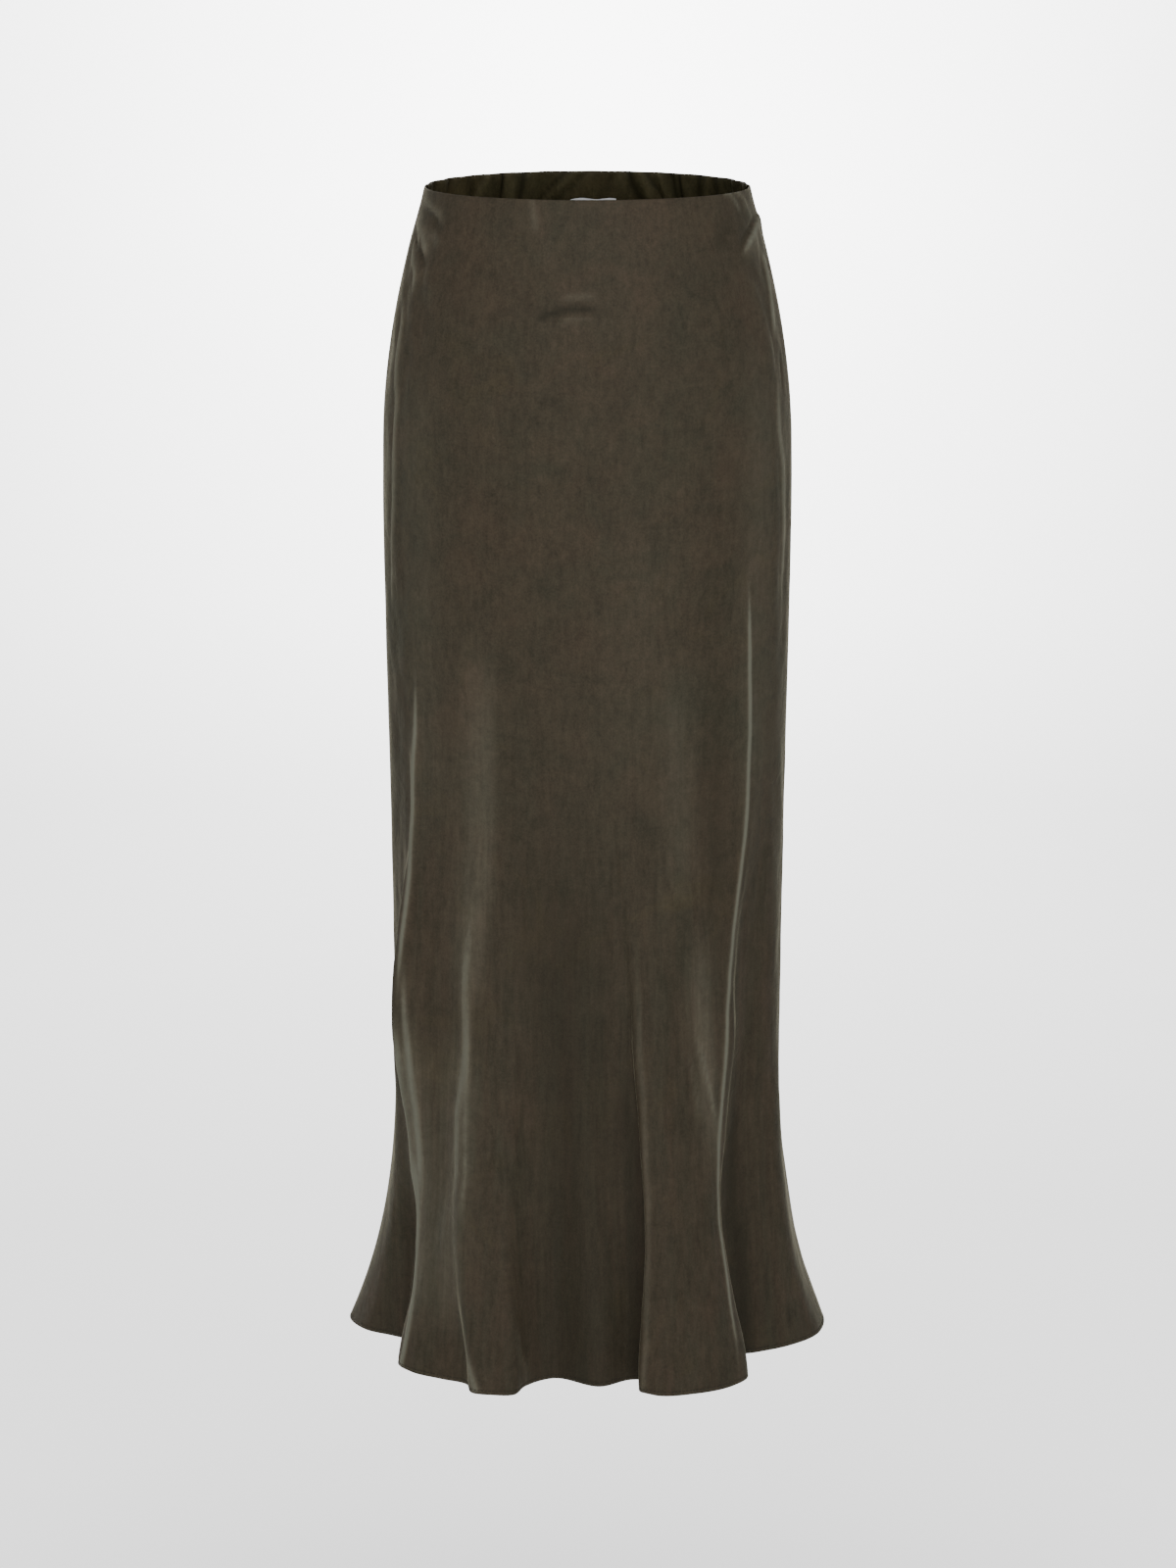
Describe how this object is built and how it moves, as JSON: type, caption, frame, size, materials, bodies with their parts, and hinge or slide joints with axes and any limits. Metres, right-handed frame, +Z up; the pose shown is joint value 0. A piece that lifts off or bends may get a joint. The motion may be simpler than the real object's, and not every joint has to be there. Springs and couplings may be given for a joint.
{
  "type": "slip skirt",
  "caption": "Bias-cut maxi slip skirt in worn form: smooth front waist, elastic back waist, flared fluted hem, open at waist and hem.",
  "frame": {"origin": "middle of the waist opening, where the wearer's waist holds the skirt", "axes": "+Z up out of the waist opening, -Y out of the skirt's front, +X to the right seen from the front"},
  "size_m": [0.4005, 0.3112, 0.9513],
  "materials": {
    "satin": "washed dark olive-brown satin with a soft sheen",
    "satin_inside": "the satin's duller inner side",
    "label_tape": "white woven tape, blank"
  },
  "bodies": {
    "root": {"front_panel": "satin", "back_panel": "satin", "back_waist_casing": "satin_inside", "label": "label_tape"}
  },
  "joints": []
}
